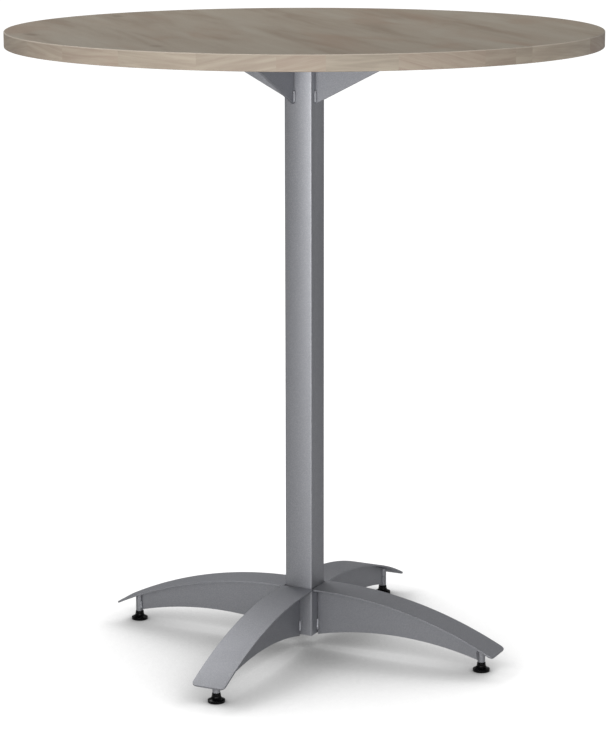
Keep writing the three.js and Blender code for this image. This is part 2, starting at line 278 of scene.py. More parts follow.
wood_grain, given, out = new_group(
    "wood_grain",
    [("Vector", "Vector"), ("Streak Length", "Float"), ("Streak Width", "Float")],
    [("Streak", "Float"), ("Fibre", "Float"), ("Pore", "Float")])
parts = add_node(wood_grain, "SeparateXYZ", None, Vector=given["Vector"]).outputs
along = math_node(wood_grain, "DIVIDE", parts[0], given["Streak Length"])
across = math_node(wood_grain, "DIVIDE", parts[1], given["Streak Width"])
upward = math_node(wood_grain, "DIVIDE", parts[2], given["Streak Width"])
laid = add_node(wood_grain, "CombineXYZ", None, X=along, Y=across, Z=upward).outputs[0]
streak = noise(wood_grain, laid, detail=3.0, roughness=0.55, distortion=0.35)
wood_grain.links.new(streak, out["Streak"])
fine = stretch(wood_grain, laid, FIBRES_PER_STREAK)
fibre = noise(wood_grain, fine, detail=4.0, roughness=0.6, distortion=0.2)
wood_grain.links.new(fibre, out["Fibre"])
short = noise(wood_grain, stretch(wood_grain, laid, PORES_PER_STREAK))
wood_grain.links.new(spread(wood_grain, short, 0.60, 0.72), out["Pore"])
print("wood grain group:", len(wood_grain.nodes), "nodes")

# %% [markdown]
# ## Handling marks
#
# Nothing in use is perfectly even. Large soft clouds of slightly different gloss are left by hands and
# cleaning cloths. They belong to nearly every finish of the table, so they are a group of their own,
# with one output that is added to a roughness.

# %% Handling group
handling, given, out = new_group("handling", [("Vector", "Vector"), ("Size", "Float"), ("Depth", "Float")],
                                 [("Gloss", "Float")])
cloud_scale = math_node(handling, "DIVIDE", 1.0, given["Size"])
clouds = noise(handling, given["Vector"], cloud_scale, detail=4.0, roughness=0.6)
centred = math_node(handling, "SUBTRACT", clouds, 0.5)
handling.links.new(math_node(handling, "MULTIPLY", centred, given["Depth"]), out["Gloss"])


def add_handling(tree, shader, place, roughness, size, depth):
    """The shader's roughness becomes a value or socket plus the gloss of clouds of a size and depth."""
    marks = place_group(tree, handling, Vector=place, Size=size, Depth=depth)
    tree.links.new(math_node(tree, "ADD", marks["Gloss"], roughness), shader.inputs["Roughness"])


print("handling group:", len(handling.nodes), "nodes")

# %% [markdown]
# ## Finish of the laminate face
#
# The streaks of the face run slantwise between the front and right arms. A Mapping node turns the
# object's own coordinates until X lies along them. The streaks then mix three tones, reddish heartwood,
# fibres and pores darken them a little, and a few cells of a Voronoi pattern become knots. A faint bump
# presses the pores in.

# %% Laminate face finish
GRAIN_TURN = math.radians(47.8)
WOOD_MIDDLE = colour(166, 155, 139)
WOOD_PALE = colour(172, 163, 148)
WOOD_DARK = colour(150, 135, 118)
WOOD_HEART = colour(158, 136, 117)
WOOD_PORE = colour(112, 99, 85)
WOOD_KNOT = colour(110, 93, 75)
WOOD_SHINE = 0.1
WOOD_ROUGHNESS = 0.5
HEARTS_PER_METRE = (3.2, 9.0, 9.0)
HEART_SHIFT = (3.1, 0.7, 0)
KNOTS_PER_METRE = (3.5, 8.0, 8.0)

wood_face, tree, shader, place = new_finish("wood_laminate", Specular_IOR_Level=WOOD_SHINE)
turned = add_node(tree, "Mapping", None, Vector=place, Rotation=(0, 0, GRAIN_TURN)).outputs[0]
grain = place_group(tree, wood_grain, Vector=turned, Streak_Length=0.42, Streak_Width=0.055)
tone = mix_colours(tree, spread(tree, grain["Streak"], 0.28, 0.52), WOOD_DARK, WOOD_MIDDLE)
tone = mix_colours(tree, spread(tree, grain["Streak"], 0.48, 0.72), tone, WOOD_PALE)
mapped = add_node(tree, "Mapping", None, Vector=turned, Location=HEART_SHIFT, Scale=HEARTS_PER_METRE)
heart = noise(tree, mapped.outputs[0], detail=3.0, roughness=0.55, distortion=0.8)
tone = blend_in(tree, tone, WOOD_HEART, spread(tree, heart, 0.48, 0.78), most=0.75)
tone = blend_in(tree, tone, WOOD_DARK, grain["Fibre"], most=0.16)
tone = blend_in(tree, tone, WOOD_PORE, grain["Pore"], most=0.20)

mapped = add_node(tree, "Mapping", None, Vector=turned, Scale=KNOTS_PER_METRE)
cells = add_node(tree, "TexVoronoi", None, Scale=1.0, Vector=mapped.outputs[0]).outputs
chance = add_node(tree, "SeparateColor", None, Color=cells["Color"]).outputs[0]
few = spread(tree, chance, 0.62, 0.66, 0, 0.5)
knot = math_node(tree, "MULTIPLY", spread(tree, cells["Distance"], 0.13, 0.03), few)
tree.links.new(mix_colours(tree, knot, tone, WOOD_KNOT), shader.inputs["Base Color"])
add_handling(tree, shader, place, WOOD_ROUGHNESS, size=0.18, depth=0.14)
relief = math_node(tree, "SUBTRACT", grain["Fibre"], grain["Pore"])
lay_bump(tree, shader, relief, strength=0.15, distance=0.2 * MM)
print("face finish:", len(tree.nodes), "nodes")

# %% [markdown]
# ## Finish of the rim band
#
# The band is a strip of the same wood in short boards, so its tone changes in small steps along the rim.
# The angle about the column, spread from 0 to 1, runs through a colour ramp with hard steps, one for
# each board. A board has four numbers: the angle in degrees where it starts, and then, in tenths, how
# bright it is, how pink, and how its fibres lean along the strip. The brightness is partly the board's
# own tone and partly painted light, which lightens or darkens boards to shift where the rim looks most
# brightly lit. The ramp carries the last three as red, green and blue.

# %% Boards of the rim band
band_low, band_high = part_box("edge_band")
TOP_RADIUS = band_high.x
# Per board: start angle, then brightness (partly painted light), pinkness and lean, in tenths.
BOARDS_AND_PAINTED_LIGHT = ((-180, 6, 3, 5), (-158, 8, 6, 6), (-143, 7, 4, 3), (-126, 8, 5, 7), (-112.5, 7, 7, 5),
          (-99.1, 6, 3, 6), (-83.3, 4, 4, 2), (-70, 3, 8, 2), (-61.5, 3, 0, 5), (-48.5, 2, 7, 9),
          (-31.6, 1, 5, 4), (-25.2, 3, 1, 5), (-20.5, 6, 1, 6), (0.5, 2, 9, 8), (17, 5, 3, 3), (34, 4, 6, 7),
          (48, 6, 2, 4), (57, 5, 5, 2), (79, 3, 7, 6), (93, 6, 2, 8), (108, 4, 4, 5), (121, 5, 6, 3),
          (136, 3, 3, 7), (149, 4, 7, 4), (168, 6, 4, 5))

wood_band, tree, shader, place = new_finish("wood_edge", Specular_IOR_Level=WOOD_SHINE)
parts = add_node(tree, "SeparateXYZ", None, Vector=place).outputs
angle = math_node(tree, "ARCTAN2", parts[1], parts[0])
length = math_node(tree, "MULTIPLY", angle, TOP_RADIUS)
turn_share = math_node(tree, "MULTIPLY_ADD", angle, 0.5 / math.pi, 0.5)
steps = add_node(tree, "ValToRGB", None, Fac=turn_share)
steps.color_ramp.interpolation = "CONSTANT"
stops = steps.color_ramp.elements
# The first value of each stop, the board's brightness, is partly painted light.
for joint, bright, pink, lean in BOARDS_AND_PAINTED_LIGHT:
    stop = stops[0] if joint == -180 else stops.new(joint / 360 + 0.5)
    stop.color = (bright / 10, pink / 10, lean / 10, 1)
stops.remove(stops[-1])
board = add_node(tree, "SeparateColor", None, Color=steps.outputs["Color"]).outputs
print("boards on the rim:", len(stops))

# %% [markdown]
# Each board's lean tilts its fibres against the rim, and its pinkness also picks a fresh piece of the
# grain. A painted highlight lightens the band's upper edge, a painted shadow darkens its lower edge, and
# the board's brightness, which is partly painted light, scales it all.

# %% Tones of the rim band
BAND_GREY = colour(144, 135, 123)
BAND_PINK = colour(151, 135, 123)
# Tone of the painted highlight along the band's upper edge.
BAND_PAINTED_HIGHLIGHT = colour(188, 178, 164)
# Tone of the painted shadow along the band's lower edge.
BAND_PAINTED_SHADE = colour(104, 93, 81)
HIGHLIGHT_FROM, HIGHLIGHT_FULL = 2 * MM, 0.8 * MM
SHADE_FROM = 1.2 * MM
MOST_LEAN = 0.35
DARKEST_BOARD_AND_SHADE = 0.82
BOARD_AND_LIGHT_RANGE = 0.44

lean = math_node(tree, "MULTIPLY_ADD", board[2], 2 * MOST_LEAN, -MOST_LEAN)
slant = math_node(tree, "MULTIPLY_ADD", length, lean, parts[2])
laid = add_node(tree, "CombineXYZ", None, X=length, Y=slant, Z=board[1]).outputs[0]
grain = place_group(tree, wood_grain, Vector=laid, Streak_Length=0.10, Streak_Width=0.007)
tone = mix_colours(tree, board[1], BAND_GREY, BAND_PINK)
tone = blend_in(tree, tone, WOOD_PALE, spread(tree, grain["Streak"], 0.3, 0.7), most=0.6)
tone = blend_in(tree, tone, WOOD_DARK, grain["Fibre"], most=0.24)
# Painted highlight: the band's upper arris is lightened.
painted_highlight = spread(tree, parts[2], band_high.z - HIGHLIGHT_FROM, band_high.z - HIGHLIGHT_FULL)
tone = blend_in(tree, tone, BAND_PAINTED_HIGHLIGHT, painted_highlight, most=0.9)
# Painted shadow: the band's lower edge is darkened.
painted_shade = spread(tree, parts[2], band_low.z + SHADE_FROM, band_low.z)
tone = blend_in(tree, tone, BAND_PAINTED_SHADE, painted_shade, most=0.5)
# Board brightness scales the tone: partly the board's own tone, partly painted light and shade round the rim.
shade = math_node(tree, "MULTIPLY_ADD", board[0], BOARD_AND_LIGHT_RANGE, DARKEST_BOARD_AND_SHADE)
tone_with_painted_light = add_node(tree, "VectorMath", {"operation": "SCALE"}, _0=tone, Scale=shade).outputs[0]
tree.links.new(tone_with_painted_light, shader.inputs["Base Color"])
add_handling(tree, shader, place, WOOD_ROUGHNESS, size=0.09, depth=0.12)
lay_bump(tree, shader, grain["Fibre"], strength=0.15, distance=0.2 * MM)
print("band finish:", len(tree.nodes), "nodes")

# %% [markdown]
# ## The top
#
# The face sheet is a thin disc, and the band is a strip glued round the board's rim, with its outer
# edges taken off by a small round, called an arris. Both are profiles turned about the column's axis. A
# boolean or a bevel would do as well, but a turned profile puts its points exactly where the round needs
# them.

# %% Laminate face and rim band
TOP_SEGMENTS = 256
BAND_THICKNESS = 2 * MM
ARRIS = 1.5 * MM
FACE_EDGE = 0.15 * MM
sheet_low, sheet_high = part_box("top_laminate")
sheet_radius = sheet_high.x

face_profile = [(sheet_radius, sheet_low.z), (sheet_radius, sheet_high.z - FACE_EDGE),
                (sheet_radius - FACE_EDGE, sheet_high.z)]
face = make_piece("laminate_face", [lathe(face_profile, TOP_SEGMENTS)], wood_face)
fit(face, "table", "wood_laminate", "top_laminate")

band_inner = TOP_RADIUS - BAND_THICKNESS
inner_edge = band_inner + FACE_EDGE
arris_at = TOP_RADIUS - ARRIS
band_profile = ([(inner_edge, band_low.z)] + rounded((arris_at, band_low.z + ARRIS), ARRIS, -90, 0)
                + rounded((arris_at, band_high.z - ARRIS), ARRIS, 0, 90)
                + [(inner_edge, band_high.z), (band_inner, band_high.z - FACE_EDGE),
                   (band_inner, band_low.z + FACE_EDGE)])
band = make_piece("rim_band", [lathe(band_profile, TOP_SEGMENTS)], wood_band, looped=True)
fit(band, "table", "wood_edge", "edge_band")

# %% [markdown]
# ## Silver paint
#
# All the steel wears the same satin silver powder coat: fine aluminium flakes under a clear film. Close
# up, the flakes sparkle as tiny specks, and the film has the soft dimples that painters call orange
# peel. The flakes and the dimples are a group, so that other coated metal could use them with its own
# sizes.

# %% Paint flake group
paint_flake, given, out = new_group(
    "paint_flake", [("Vector", "Vector"), ("Flake Size", "Float"), ("Peel Size", "Float")],
    [("Flake", "Float"), ("Peel", "Float")])
flake_scale = math_node(paint_flake, "DIVIDE", 1.0, given["Flake Size"])
cells = add_node(paint_flake, "TexVoronoi", None, Vector=given["Vector"], Scale=flake_scale).outputs
flake = add_node(paint_flake, "SeparateColor", None, Color=cells["Color"]).outputs[0]
paint_flake.links.new(flake, out["Flake"])
peel_scale = math_node(paint_flake, "DIVIDE", 1.0, given["Peel Size"])
paint_flake.links.new(noise(paint_flake, given["Vector"], peel_scale), out["Peel"])
print("paint group:", len(paint_flake.nodes), "nodes")

# %% [markdown]
# The finish itself is nearly all metal. Each flake picks a tone between two silvers, the handling clouds
# vary the gloss, and the peel is a very faint bump.

# %% Silver paint finish
SILVER = colour(145, 146, 150)
SILVER_SPARK = colour(161, 162, 167)
SILVER_SHEEN = (0.55, 0.55, 0.57, 1)
SILVER_ROUGHNESS = 0.52

silver_paint, tree, shader, place = new_finish("silver_paint", Metallic=0.95, Specular_IOR_Level=0.3,
                                               Specular_Tint=SILVER_SHEEN)
flakes = place_group(tree, paint_flake, Vector=place, Flake_Size=0.6 * MM, Peel_Size=4 * MM)
tone = mix_colours(tree, spread(tree, flakes["Flake"], 0.35, 1.0), SILVER, SILVER_SPARK)
tree.links.new(tone, shader.inputs["Base Color"])
add_handling(tree, shader, place, SILVER_ROUGHNESS, size=0.12, depth=0.10)
lay_bump(tree, shader, flakes["Peel"], strength=0.06, distance=0.3 * MM)
print("paint finish:", len(tree.nodes), "nodes")

# %% [markdown]
# ## The column
#
# The column is a square tube with rounded corners, rolled from strip. Rolling leaves its faces a touch
# fuller in the middle, so they don't mirror the room as flat glass would. Its corners have few segments,
# and smooth shading then lets the light turn gently over the whole face. The section is carried straight
# up, outside and inside.

# %% Column tube
COLUMN_CORNER = 3.2 * MM
COLUMN_WALL = 2.0 * MM
COLUMN_END = 0.3 * MM
CORNER_TURNS = (0, 40, 50, 90)
column_low, column_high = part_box("column_tube")
COLUMN_FACE = column_high.x


def rounded_square(half, corner):
    """Square outline, counterclockwise: about each inner corner point, a quarter circle of the corner's
    radius."""
    angle = np.radians(np.arange(4)[:, None] * 90 + np.array(CORNER_TURNS)).ravel()
    sign_x, sign_y = np.repeat([[1, -1, -1, 1], [1, 1, -1, -1]], len(CORNER_TURNS), axis=1)
    inner = half - corner
    return np.stack([sign_x * inner + corner * np.cos(angle), sign_y * inner + corner * np.sin(angle)], -1)


def column_grid():
    """Outer outline from the bottom to the top, then the inner one back down. The lower outer edge is
    slightly broken: the outline starts smaller and grows to full size over the same height."""
    inner_face, inner_corner = COLUMN_FACE - COLUMN_WALL, COLUMN_CORNER - COLUMN_WALL
    bottom, top = column_low.z, column_high.z
    rows = [(COLUMN_FACE - COLUMN_END, COLUMN_CORNER - COLUMN_END, bottom),
            (COLUMN_FACE, COLUMN_CORNER, bottom + COLUMN_END), (COLUMN_FACE, COLUMN_CORNER, top),
            (inner_face, inner_corner, top), (inner_face, inner_corner, bottom)]
    outlines = [rounded_square(half, corner) for half, corner, height in rows]
    heights = [np.full((len(outline), 1), row[2]) for outline, row in zip(outlines, rows)]
    return np.concatenate([np.stack(outlines), np.stack(heights)], -1)


column = make_piece("column", [column_grid()], silver_paint, looped=True)
fit(column, "table", "silver_paint", "column_tube")

# %% [markdown]
# ## Plates with broken edges
#
# Gussets, webs and flanges are cut from plate. A laser leaves a sharp edge, but tumbling and paint round
# it, and that thin round catches the light along every edge of the real table. So the section that is
# carried along is a rectangle with rounded corners. A narrow strip beside each round keeps the shading
# of the flat faces flat.

# %% Plate section
PLATE_EDGE = 0.35 * MM
PLATE_STRIP = 0.3 * MM
EDGE_TURNS = np.radians([0, 30, 60, 90])
END_DRAW = 0.9 * PLATE_EDGE


def plate_section(half_width, half_height, edge):
    """Rounded rectangle for each row: about each inner corner a quarter circle of radius edge, with a
    point of the straight side before it and after it. Inputs are columns of rows, the result is (rows,
    columns, 2)."""
    angle = np.radians(np.arange(4)[:, None] * 90 + np.array([0, 0, 30, 60, 90, 90])).ravel()
    slide = np.tile([-PLATE_STRIP, 0, 0, 0, 0, PLATE_STRIP], 4)
    sign_x, sign_y = np.repeat([1, -1, -1, 1], 6), np.repeat([1, 1, -1, -1], 6)
    x = sign_x * (half_width - edge) + edge * np.cos(angle) - slide * np.sin(angle)
    y = sign_y * (half_height - edge) + edge * np.sin(angle) + slide * np.cos(angle)
    return np.stack([x, y], -1)


def upright_plate(distance, bottom, top, thickness):
    """Upright plate in the arm's plane: at each distance from the column's axis, a section between two
    heights. Its two ends are rounded too: over a run of edge times (1 - cos), the section is drawn in by
    nine tenths of the edge times (1 - sin)."""
    run, draw = PLATE_EDGE * (1 - np.cos(EDGE_TURNS)), END_DRAW * (1 - np.sin(EDGE_TURNS))
    station = np.concatenate([distance[0] + run, distance[1:-1], distance[-1] - run[::-1]])[:, None]
    inset = np.concatenate([draw, 0 * distance[1:-1], draw[::-1]])[:, None]
    low, high = np.interp(station, distance, bottom), np.interp(station, distance, top)
    section = plate_section(thickness / 2 - inset, (high - low) / 2 - inset, PLATE_EDGE - inset)
    return np.stack([station + 0 * section[..., 0], section[..., 0], (low + high) / 2 + section[..., 1]], -1)


# %% [markdown]
# ## Welds
#
# Short welds hold the plates to the column and to the glide sleeves. A weld bead is a round fillet laid
# in drops, so its surface is rippled along its length and its ends fade out. Here a quarter-round
# section is carried up the joint, and its radius swells and shrinks a little with every drop.

# %% Weld bead
WELD_LEG = 3.4 * MM
WELD_DROP = 1.9 * MM
WELD_RIPPLE = 0.05
WELD_ROWS = 64
WELD_COLUMNS = 9
TAPER_POWER = 7
THINNEST_END = 0.02


def weld_bead(corner, outward, side, bottom, length):
    """Fillet bead in the corner at (distance, offset): a quarter circle between the outward and sideways
    directions, of radius leg times a blunt end taper times (1 + a ripple of one wave per drop)."""
    share = np.linspace(0, 1, WELD_ROWS)[:, None]
    taper = np.clip(1 - np.abs(2 * share - 1) ** TAPER_POWER, THINNEST_END, 1) ** 0.5
    ripple = 1 + WELD_RIPPLE * np.cos(2 * np.pi * share * length / WELD_DROP) - WELD_RIPPLE
    angle = np.radians(np.linspace(0, 90, WELD_COLUMNS))
    radius = WELD_LEG * taper * ripple
    x = np.concatenate([0 * share, radius * np.cos(angle)], 1)
    y = np.concatenate([0 * share, radius * np.sin(angle)], 1)
    z = bottom + share * length + 0 * x
    if outward * side < 0:
        x, y, z = x[:, ::-1], y[:, ::-1], z[:, ::-1]
    return np.stack([corner[0] + outward * x, corner[1] + side * y, z], -1)


def bead_pair(distance, thickness, outward, bottom, length):
    """Beads on the two sides of an upright plate of a thickness, at a distance from the column's
    axis."""
    return [weld_bead((distance, side * thickness / 2), outward, side, bottom, length) for side in (-1, 1)]


# %% [markdown]
# ## Gussets
#
# Each gusset is a triangular plate between the column and the plate under the top, with a blunt outer
# nose. Its lower edge falls in a straight line to the column. It stands beside the middle of its face,
# and the four go round the column like the blades of a pinwheel. As a grid it is an upright plate whose
# lower height grows evenly with the distance. Two beads hold its lower end.

# %% Gussets
GUSSET_THICKNESS = 5 * MM
GUSSET_NOSE = 8 * MM
GUSSET_WELD = 21 * MM
WELD_START = 2 * MM
GUSSET_ROWS = 24
gusset_low, gusset_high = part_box("gusset_right")

reach = np.linspace(gusset_low.x, gusset_high.x, GUSSET_ROWS)
slope = np.interp(reach, [reach[0], reach[-1]], [gusset_low.z, gusset_high.z - GUSSET_NOSE])
beside = np.array((0, (gusset_low.y + gusset_high.y) / 2, 0))
gusset_plate = beside + upright_plate(reach, slope, gusset_high.z + 0 * reach, GUSSET_THICKNESS)
beads = bead_pair(COLUMN_FACE, GUSSET_THICKNESS, 1, gusset_low.z + WELD_START, GUSSET_WELD)
gusset_beads = [beside + bead for bead in beads]
for side in SIDES:
    piece = make_piece(f"gusset_plate_{side}", [turn_to(side, gusset_plate)], silver_paint)
    fit(piece, "table", "silver_paint", f"gusset_{side}")
    beads = make_piece(f"gusset_weld_{side}", [turn_to(side, bead) for bead in gusset_beads], silver_paint)
    fit(beads, "table", "silver_paint", f"gusset_{side}")

# %% [markdown]
# ## Arms
#
# Each arm is a T in section: a plate bent to a long arc lies on an upright web that is arched along its
# lower edge. The bent plate is a section carried along the arc, square to it at every step. Near the
# column its sides close in at 45 degrees, where the four plates meet in mitres, and its root goes a
# little into the tube's wall, so that no gap shows there. At the tip its corners are rounded in plan.

# %% Arc of the arms
FLANGE_BEND = 706 * MM
FLANGE_THICKNESS = 3 * MM
FLANGE_ROOT_HEIGHT = 110.2 * MM
FLANGE_TIP_HEIGHT = 34.8 * MM
flange_low, flange_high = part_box("arm_flange_right")
FLANGE_HALF = flange_high.y


def arc_centre(start, end, radius):
    """Centre of an upward-bulging circle through two points: from the chord's middle, down its normal by
    the square root of the radius squared less half the chord squared."""
    start, end = np.array(start), np.array(end)
    chord = end - start
    up = np.array([-chord[1], chord[0]]) / np.hypot(*chord)
    return (start + end) / 2 - up * math.sqrt(radius ** 2 - chord @ chord / 4)


def height_on(centre, radius, distance):
    """Height of a circle's upper half at a distance from the column's axis."""
    return centre[1] + np.sqrt(radius ** 2 - (distance - centre[0]) ** 2)


bend_centre = arc_centre((COLUMN_FACE, FLANGE_ROOT_HEIGHT), (flange_high.x, FLANGE_TIP_HEIGHT), FLANGE_BEND)
print("bend centre:", bend_centre.round(4))

# %% [markdown]
# The rows of the bent plate don't stand evenly along the arc. They crowd together at its root and at its
# tip, where the edges are rounded and the outline turns, and stand far apart in between.

# %% Arm flanges
FLANGE_TIP_CORNER = 8 * MM
FLANGE_BITE = 1.8 * MM
ROOT_STATIONS = np.linspace(1.2 * MM, 5 * MM, 4)
MIDDLE_START = 5.1 * MM
MIDDLE_ROWS = 60
TIP_ROWS = 9
WELD_GAP = 0.3 * MM


def flange_grid():
    """At angle a of the bend the section's middle is the centre plus (bend - half thickness) times (cos
    a, sin a), its width lies across the arm and its height along (cos a, sin a). Half width: the
    distance less the gap in the mitre, and at the tip half the width less corner times (1 - cos), over a
    run of corner times sin."""
    root = math.acos((flange_low.x - FLANGE_BITE - bend_centre[0]) / FLANGE_BEND)
    tip = math.acos((flange_high.x - bend_centre[0]) / FLANGE_BEND)
    length = (root - tip) * FLANGE_BEND
    turn = np.radians(np.linspace(0, 90, TIP_ROWS + 1))[1:]
    straight = length - PLATE_EDGE - FLANGE_TIP_CORNER
    run = np.concatenate([PLATE_EDGE * (1 - np.cos(EDGE_TURNS)), ROOT_STATIONS,
                          np.linspace(MIDDLE_START, straight, MIDDLE_ROWS),
                          straight + FLANGE_TIP_CORNER * np.sin(turn),
                          length - PLATE_EDGE * (1 - np.sin(EDGE_TURNS[1:]))])
    inset = np.concatenate([END_DRAW * (1 - np.sin(EDGE_TURNS)),
                            np.zeros(len(ROOT_STATIONS) + MIDDLE_ROWS + TIP_ROWS),
                            END_DRAW * (1 - np.cos(EDGE_TURNS[1:]))])[:, None]
    angle = (root - run / FLANGE_BEND)[:, None]
    distance = bend_centre[0] + FLANGE_BEND * np.cos(angle)
    into_tip = np.clip((run - straight) / FLANGE_TIP_CORNER, 0, 1)[:, None]
    tip_round = FLANGE_TIP_CORNER * (1 - np.sqrt(1 - into_tip ** 2))
    half = np.minimum(FLANGE_HALF - tip_round, distance - WELD_GAP)
    section = plate_section(half - inset, FLANGE_THICKNESS / 2 - inset, PLATE_EDGE - inset)
    radius = FLANGE_BEND - FLANGE_THICKNESS / 2 + section[..., 1]
    return np.stack([bend_centre[0] + radius * np.cos(angle), section[..., 0],
                     bend_centre[1] + radius * np.sin(angle)], -1)


flange = flange_grid()
for side in SIDES:
    piece = make_piece(f"arm_top_plate_{side}", [turn_to(side, flange)], silver_paint)
    fit(piece, "table", "silver_paint", f"arm_flange_{side}")

# %% [markdown]
# ## Arm webs
#
# The web fills the space between the arch and the bent plate, so its two heights at any distance are the
# heights of two circles. Beads hold it to the column, and shorter ones to the sleeve at its outer end.

# %% Arm webs and their welds
WEB_THICKNESS = 5 * MM
WEB_ARCH = 595 * MM
WEB_DROP = 3.2 * MM
WEB_ROWS = 60
WEB_WELD_RISE = 5 * MM
SLEEVE_WELD = 17 * MM
SLEEVE_WELD_SHIFT = 2.2 * MM
SLEEVE_DROP = 2.8 * MM
sleeve_low, sleeve_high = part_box("glide_sleeve_right")
SLEEVE_RADIUS = (sleeve_high.y - sleeve_low.y) / 2
GLIDE_REACH = (sleeve_low.x + sleeve_high.x) / 2
web_end = GLIDE_REACH - SLEEVE_RADIUS - WELD_GAP
web_foot = sleeve_low.z + SLEEVE_DROP
under_flange = FLANGE_BEND - FLANGE_THICKNESS

arch_centre = arc_centre((COLUMN_FACE, column_low.z - WEB_DROP), (web_end, web_foot), WEB_ARCH)
reach = np.linspace(COLUMN_FACE + WELD_GAP, web_end, WEB_ROWS)
web_plate = upright_plate(reach, height_on(arch_centre, WEB_ARCH, reach),
                          height_on(bend_centre, under_flange - WELD_GAP / 3, reach), WEB_THICKNESS)
web_beads = bead_pair(COLUMN_FACE, WEB_THICKNESS, 1, column_low.z + WEB_WELD_RISE, GUSSET_WELD)
sleeve_beads = bead_pair(web_end + SLEEVE_WELD_SHIFT, WEB_THICKNESS, -1, web_foot, SLEEVE_WELD)
for side in SIDES:
    piece = make_piece(f"arm_web_plate_{side}", [turn_to(side, web_plate)], silver_paint)
    fit(piece, "table", "silver_paint", f"arm_web_{side}")
    beads = [turn_to(side, bead) for bead in web_beads + sleeve_beads]
    fit(make_piece(f"arm_weld_{side}", beads, silver_paint), "table", "silver_paint", f"arm_web_{side}")

# %% [markdown]
# ## Glide sleeves
#
# A tapped tube under each arm's tip holds a levelling glide. Its upper end is cut, or coped, to the
# underside of the bent plate, so the height of its top row is the height of that arc at each point's own
# distance.

# %% Glide sleeves
BORE_RADIUS = 4.25 * MM
SLEEVE_EDGE = 0.5 * MM
SLEEVE_SEGMENTS = 48
UNCUT_HEIGHT = 1.0


def sleeve_grid():
    """Tube wall as rows round the axis: up the outside to the coped end, in over the wall, and down the
    bore. The cope is the lesser of an uncut height and the height of the bent plate's underside."""
    rows = [(SLEEVE_RADIUS - SLEEVE_EDGE, sleeve_low.z), (SLEEVE_RADIUS, sleeve_low.z + SLEEVE_EDGE),
            (SLEEVE_RADIUS, UNCUT_HEIGHT), (BORE_RADIUS, UNCUT_HEIGHT),
            (BORE_RADIUS, sleeve_low.z + SLEEVE_EDGE), (BORE_RADIUS + SLEEVE_EDGE, sleeve_low.z)]
    grid = lathe(rows, SLEEVE_SEGMENTS, (GLIDE_REACH, 0))
    grid[..., 2] = np.minimum(grid[..., 2], height_on(bend_centre, under_flange, grid[..., 0]))
    return grid


sleeve = sleeve_grid()
for side in SIDES:
    piece = make_piece(f"sleeve_{side}", [turn_to(side, sleeve)], silver_paint, looped=True)
    fit(piece, "table", "silver_paint", f"glide_sleeve_{side}")

# %% [markdown]
# ## Bare zinc
#
# The studs and the wood screws are zinc plated. Plating is brighter than paint and has faint cloudy
# patches of different gloss, with fine marks that follow the turning of the part.

# %% Zinc finish
ZINC_DULL = colour(176, 180, 184)
ZINC_BRIGHT = colour(200, 202, 203)
ZINC_ROUGHNESS = 0.32

zinc, tree, shader, place = new_finish("zinc", Metallic=1.0)
patches = noise(tree, place, scale=220.0, detail=3.0, roughness=0.6)
tone = mix_colours(tree, spread(tree, patches, 0.35, 0.65), ZINC_DULL, ZINC_BRIGHT)
tree.links.new(tone, shader.inputs["Base Color"])
add_handling(tree, shader, place, ZINC_ROUGHNESS, size=0.004, depth=0.25)
rings = add_node(tree, "TexWave", {"bands_direction": "Z"}, Vector=place, Scale=900.0, Distortion=0.6)
lay_bump(tree, shader, rings.outputs[1], strength=0.1, distance=0.1 * MM)
print("zinc finish:", len(tree.nodes), "nodes")

# %% [markdown]
# ## Threaded studs
#
# The stud screws in and out of the sleeve. Its thread is a ridge that winds up the bar: at every point
# the radius depends on how far the height, counted in thread pitches, is ahead of the angle, counted in
# turns.

# %% Threaded studs
THREAD_PITCH = 25.4 / 18 * MM
THREAD_DEPTH = 0.8 * MM
FLANK_SLOPE = 3
CREST_SHARE = 0.25
ROWS_PER_PITCH = 8
STUD_COLUMNS = 36
STUD_CHAMFER = 0.9 * MM
stud_low, stud_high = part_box("glide_stud_right")
STUD_RADIUS = (stud_high.y - stud_low.y) / 2


def stud_grid():
    """Radius = outer radius less the greater of two: depth times a trapezoid wave of (height / pitch -
    angle / turn), and a chamfer at both ends. Columns run round the axis and rows run up it."""
    rows = int((stud_high.z - stud_low.z) / THREAD_PITCH * ROWS_PER_PITCH)
    height = np.linspace(stud_low.z, stud_high.z, rows)[:, None]
    angle = np.linspace(0, 2 * np.pi, STUD_COLUMNS, endpoint=False)
    phase = (height / THREAD_PITCH - angle / (2 * np.pi)) % 1
    groove = np.clip(FLANK_SLOPE * np.abs(phase - 0.5) - CREST_SHARE, 0, 1)
    from_end = np.minimum(height - stud_low.z, stud_high.z - height)
    chamfer = np.clip(STUD_CHAMFER - from_end, 0, None)
    radius = STUD_RADIUS - np.maximum(THREAD_DEPTH * groove, chamfer)
    return np.stack([GLIDE_REACH + radius * np.cos(angle), radius * np.sin(angle), height + 0 * radius], -1)


stud = stud_grid()
for side in SIDES:
    piece = make_piece(f"threaded_stud_{side}", [turn_to(side, stud)], zinc)
    fit(piece, f"stud_{side}", "zinc", f"glide_stud_{side}")

# %% [markdown]
# ## Black plastic
#
# The feet are moulded in black nylon with a fair gloss. A moulding never is one flat black: the surface
# has a faint grain, and a little grey dust and scuffing gathers low on the rim, where the foot meets the
# floor.

# %% Foot plastic finish
FOOT_BLACK = colour(4, 4, 5)
FOOT_DUST = colour(60, 59, 56)
DUST_HEIGHT = 4 * MM
FOOT_ROUGHNESS = 0.25
DUST_ROUGHNESS = 0.2

